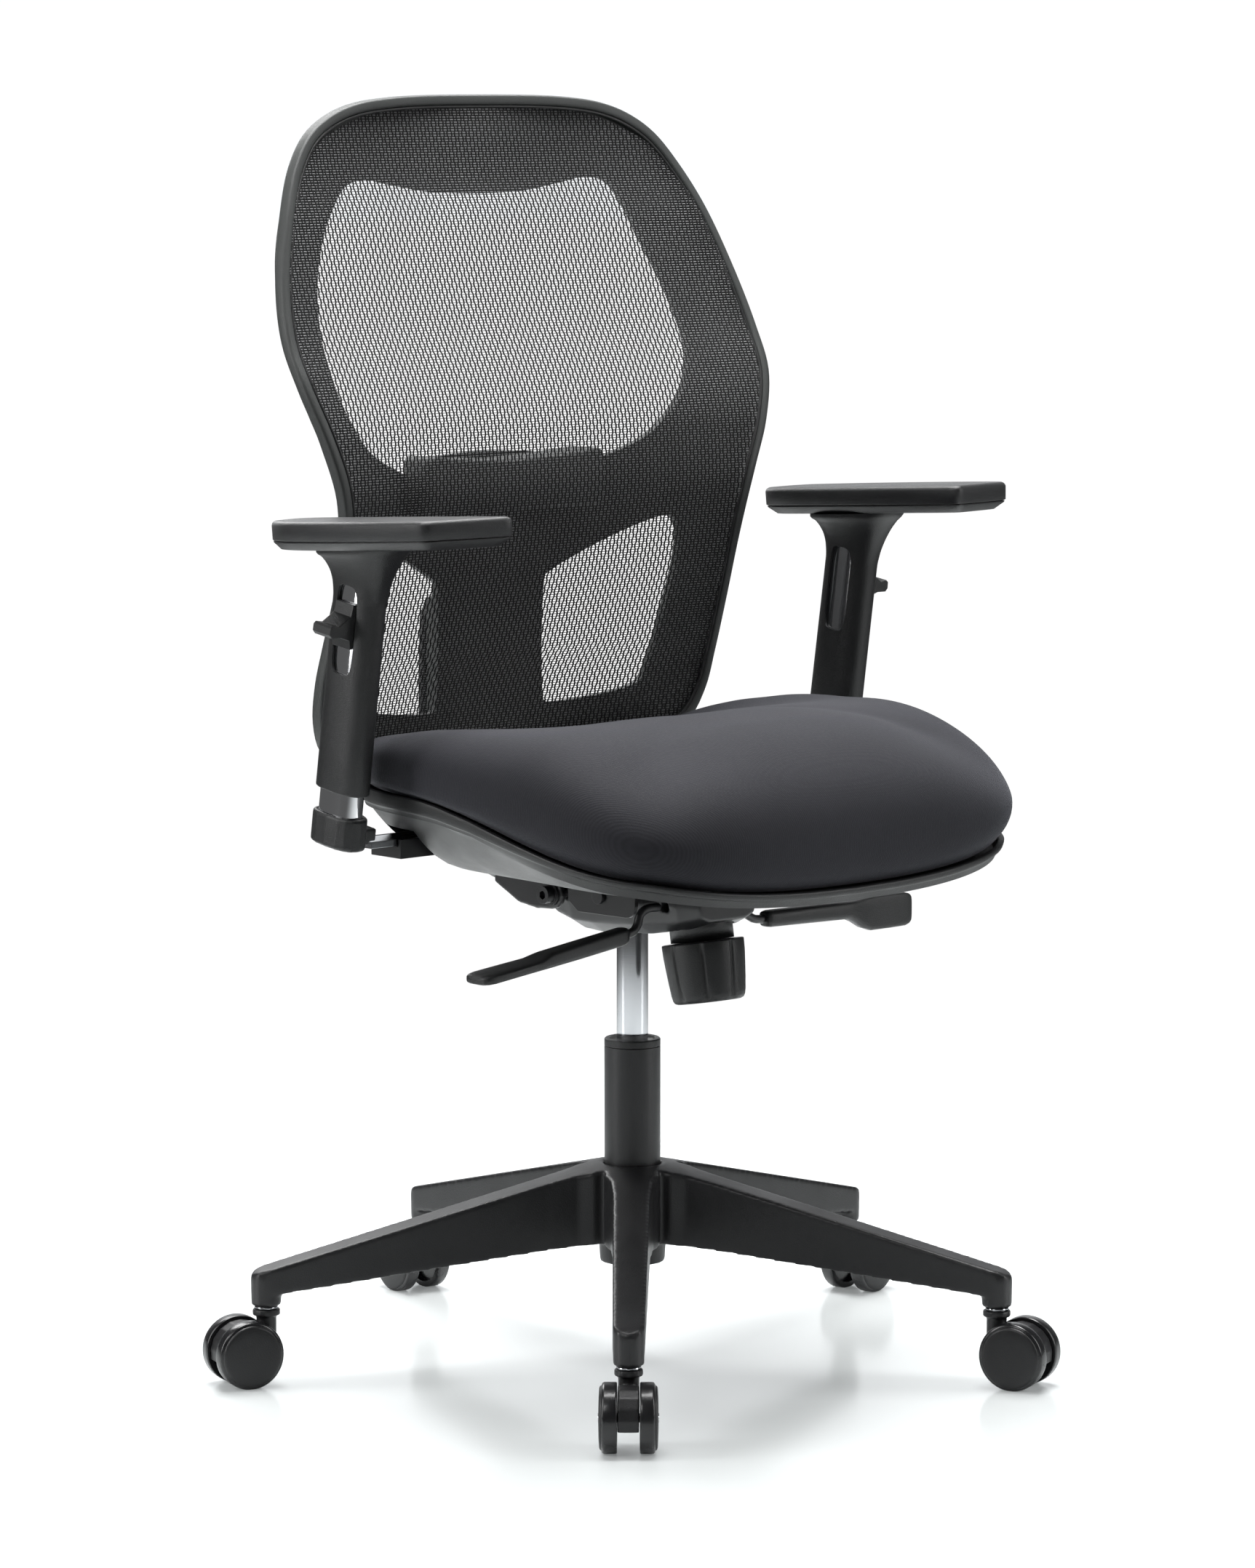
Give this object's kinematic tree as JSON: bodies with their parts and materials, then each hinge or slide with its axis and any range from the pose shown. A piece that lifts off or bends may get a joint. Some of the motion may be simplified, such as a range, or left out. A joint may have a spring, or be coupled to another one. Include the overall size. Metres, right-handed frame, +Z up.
{
  "type": "swivel office chair",
  "caption": "Swivel office chair with mesh back, contoured fabric seat, height-adjustable arms, gas lift and star base on twin-wheel casters.",
  "frame": {"origin": "on the floor, at the middle of the chair's bounding box seen from above", "axes": "+Z up; the sitter faces -Y, so the sitter's right side is at -X"},
  "size_m": [0.7469, 0.7388, 1.123],
  "materials": {
    "base_nylon": "fine moulded texture, satin",
    "black_steel": "satin powder coat",
    "grey_bush": "smooth",
    "satin_steel": "ground, satin",
    "chrome": "polished",
    "moulded_black": "fine grain, satin",
    "frame_grey": "fine grain, matt",
    "arm_soft": "soft touch",
    "wheel": "semi-gloss",
    "seat_fabric": "fine plain weave",
    "mesh_fabric": "open knitted mesh"
  },
  "bodies": {
    "base": {"star_base": "base_nylon", "cylinder_tube": "black_steel", "guide_bush": "grey_bush", "caster_1_stem": "satin_steel", "caster_2_stem": "satin_steel", "caster_3_stem": "satin_steel", "caster_4_stem": "satin_steel", "caster_5_stem": "satin_steel"},
    "turret": {"piston_rod": "satin_steel"},
    "lift": {"gas_column": "satin_steel", "mech_housing": "black_steel", "tension_tube": "moulded_black", "seat_pivot_pin": "black_steel", "back_pivot_bolt": "black_steel"},
    "back": {"back_carrier": "black_steel", "back_frame": "frame_grey", "back_mesh": "mesh_fabric"},
    "seat": {"seat_bracket": "black_steel", "seat_shell": "moulded_black", "seat_cushion": "seat_fabric", "arm_rail": "black_steel"},
    "knob": {"tension_knob": "moulded_black"},
    "height_lever": {"height_lever_rod": "black_steel", "height_lever_handle": "moulded_black"},
    "tilt_lever": {"tilt_lever_rod": "black_steel", "tilt_lever_handle": "moulded_black"},
    "arm_right_slider": {"arm_right_cup": "moulded_black", "arm_right_tube": "chrome", "arm_right_bar": "satin_steel"},
    "arm_right_top": {"arm_right_sleeve": "moulded_black", "arm_right_pad_base": "moulded_black", "arm_right_pad": "arm_soft"},
    "arm_right_latch": {"arm_right_trigger": "moulded_black"},
    "arm_left_slider": {"arm_left_cup": "moulded_black", "arm_left_tube": "chrome", "arm_left_bar": "satin_steel"},
    "arm_left_top": {"arm_left_sleeve": "moulded_black", "arm_left_pad_base": "moulded_black", "arm_left_pad": "arm_soft"},
    "arm_left_latch": {"arm_left_trigger": "moulded_black"},
    "caster_1_fork": {"caster_1_hood": "base_nylon", "caster_1_axle": "satin_steel"},
    "caster_1_wheel_l": {"caster_1_wheel_l": "wheel"},
    "caster_1_wheel_r": {"caster_1_wheel_r": "wheel"},
    "caster_2_fork": {"caster_2_hood": "base_nylon", "caster_2_axle": "satin_steel"},
    "caster_2_wheel_l": {"caster_2_wheel_l": "wheel"},
    "caster_2_wheel_r": {"caster_2_wheel_r": "wheel"},
    "caster_3_fork": {"caster_3_hood": "base_nylon", "caster_3_axle": "satin_steel"},
    "caster_3_wheel_l": {"caster_3_wheel_l": "wheel"},
    "caster_3_wheel_r": {"caster_3_wheel_r": "wheel"},
    "caster_4_fork": {"caster_4_hood": "base_nylon", "caster_4_axle": "satin_steel"},
    "caster_4_wheel_l": {"caster_4_wheel_l": "wheel"},
    "caster_4_wheel_r": {"caster_4_wheel_r": "wheel"},
    "caster_5_fork": {"caster_5_hood": "base_nylon", "caster_5_axle": "satin_steel"},
    "caster_5_wheel_l": {"caster_5_wheel_l": "wheel"},
    "caster_5_wheel_r": {"caster_5_wheel_r": "wheel"}
  },
  "joints": [
    {"name": "seat_swivel", "type": "hinge", "parent": "base", "child": "turret", "pos_m": [-0.012, -0.0194, 0.29], "axis": [0, 0, 1], "continuous": true},
    {"name": "gas_lift", "type": "slide", "parent": "turret", "child": "lift", "axis": [0, 0, 1], "range_m": [-0.09, 0]},
    {"name": "back_recline", "type": "hinge", "parent": "lift", "child": "back", "pos_m": [-0.012, 0.0076, 0.423], "axis": [-1, 0, 0], "range_deg": [0, 20], "stiffness_Nm_per_rad": 60, "springref_deg": -22.92},
    {"name": "seat_tilt", "type": "hinge", "parent": "lift", "child": "seat", "pos_m": [-0.012, -0.0564, 0.428], "axis": [-1, 0, 0], "range_deg": [0, 9.3]},
    {"name": "tension_turn", "type": "hinge", "parent": "lift", "child": "knob", "pos_m": [-0.012, -0.1154, 0.36], "axis": [0, 0.1736, 0.9848], "range_deg": [-720, 720]},
    {"name": "height_lever_pull", "type": "hinge", "parent": "lift", "child": "height_lever", "pos_m": [-0.064, -0.1104, 0.422], "axis": [0, 1, 0], "range_deg": [0, 12], "stiffness_Nm_per_rad": 1, "springref_deg": -17.19},
    {"name": "tilt_lever_turn", "type": "hinge", "parent": "lift", "child": "tilt_lever", "pos_m": [0.033, -0.0914, 0.407], "axis": [1, 0, 0], "range_deg": [-30, 0]},
    {"name": "arm_right_width", "type": "slide", "parent": "seat", "child": "arm_right_slider", "axis": [-1, 0, 0], "range_m": [-0.01, 0.025]},
    {"name": "arm_right_height", "type": "slide", "parent": "arm_right_slider", "child": "arm_right_top", "axis": [0, -0.1478, 0.989], "range_m": [-0.018, 0.055]},
    {"name": "arm_right_trigger_pull", "type": "hinge", "parent": "arm_right_top", "child": "arm_right_latch", "pos_m": [-0.3155, 0.0086, 0.69377], "axis": [0, 0.989, 0.1478], "range_deg": [0, 9], "stiffness_Nm_per_rad": 0.6, "springref_deg": -11.46},
    {"name": "arm_left_width", "type": "slide", "parent": "seat", "child": "arm_left_slider", "axis": [1, 0, 0], "range_m": [-0.019, 0.016]},
    {"name": "arm_left_height", "type": "slide", "parent": "arm_left_slider", "child": "arm_left_top", "axis": [0, -0.1478, 0.989], "range_m": [-0.018, 0.055]},
    {"name": "arm_left_trigger_pull", "type": "hinge", "parent": "arm_left_top", "child": "arm_left_latch", "pos_m": [0.3005, 0.0086, 0.69377], "axis": [0, -0.989, -0.1478], "range_deg": [0, 9], "stiffness_Nm_per_rad": 0.6, "springref_deg": -11.46},
    {"name": "caster_1_swivel", "type": "hinge", "parent": "base", "child": "caster_1_fork", "pos_m": [-0.24127, -0.26612, 0.066], "axis": [0, 0, 1], "continuous": true},
    {"name": "caster_1_roll_l", "type": "hinge", "parent": "caster_1_fork", "child": "caster_1_wheel_l", "pos_m": [-0.25624, -0.28224, 0.02942], "axis": [0.7325, -0.6807, 0], "continuous": true},
    {"name": "caster_1_roll_r", "type": "hinge", "parent": "caster_1_fork", "child": "caster_1_wheel_r", "pos_m": [-0.25624, -0.28224, 0.02942], "axis": [0.7325, -0.6807, 0], "continuous": true},
    {"name": "caster_2_swivel", "type": "hinge", "parent": "base", "child": "caster_2_fork", "pos_m": [-0.31749, 0.1224, 0.066], "axis": [0, 0, 1], "continuous": true},
    {"name": "caster_2_roll_l", "type": "hinge", "parent": "caster_2_fork", "child": "caster_2_wheel_l", "pos_m": [-0.33843, 0.12917, 0.02942], "axis": [-0.3074, -0.9516, 0], "continuous": true},
    {"name": "caster_2_roll_r", "type": "hinge", "parent": "caster_2_fork", "child": "caster_2_wheel_r", "pos_m": [-0.33843, 0.12917, 0.02942], "axis": [-0.3074, -0.9516, 0], "continuous": true},
    {"name": "caster_3_swivel", "type": "hinge", "parent": "base", "child": "caster_3_fork", "pos_m": [0.02846, 0.31496, 0.066], "axis": [0, 0, 1], "continuous": true},
    {"name": "caster_3_roll_l", "type": "hinge", "parent": "caster_3_fork", "child": "caster_3_wheel_l", "pos_m": [0.03111, 0.3368, 0.02942], "axis": [-0.9928, 0.1201, 0], "continuous": true},
    {"name": "caster_3_roll_r", "type": "hinge", "parent": "caster_3_fork", "child": "caster_3_wheel_r", "pos_m": [0.03111, 0.3368, 0.02942], "axis": [-0.9928, 0.1201, 0], "continuous": true},
    {"name": "caster_4_swivel", "type": "hinge", "parent": "base", "child": "caster_4_fork", "pos_m": [0.3185, 0.04544, 0.066], "axis": [0, 0, 1], "continuous": true},
    {"name": "caster_4_roll_l", "type": "hinge", "parent": "caster_4_fork", "child": "caster_4_wheel_l", "pos_m": [0.34009, 0.04968, 0.02942], "axis": [-0.1925, 0.9813, 0], "continuous": true},
    {"name": "caster_4_roll_r", "type": "hinge", "parent": "caster_4_fork", "child": "caster_4_wheel_r", "pos_m": [0.34009, 0.04968, 0.02942], "axis": [-0.1925, 0.9813, 0], "continuous": true},
    {"name": "caster_5_swivel", "type": "hinge", "parent": "base", "child": "caster_5_fork", "pos_m": [0.1518, -0.31369, 0.066], "axis": [0, 0, 1], "continuous": true},
    {"name": "caster_5_roll_l", "type": "hinge", "parent": "caster_5_fork", "child": "caster_5_wheel_l", "pos_m": [0.16007, -0.33407, 0.02942], "axis": [0.9265, 0.3762, 0], "continuous": true},
    {"name": "caster_5_roll_r", "type": "hinge", "parent": "caster_5_fork", "child": "caster_5_wheel_r", "pos_m": [0.16007, -0.33407, 0.02942], "axis": [0.9265, 0.3762, 0], "continuous": true}
  ],
  "couplings": [
    {"joint": "seat_tilt", "follows": "back_recline", "ratio": 0.46}
  ]
}
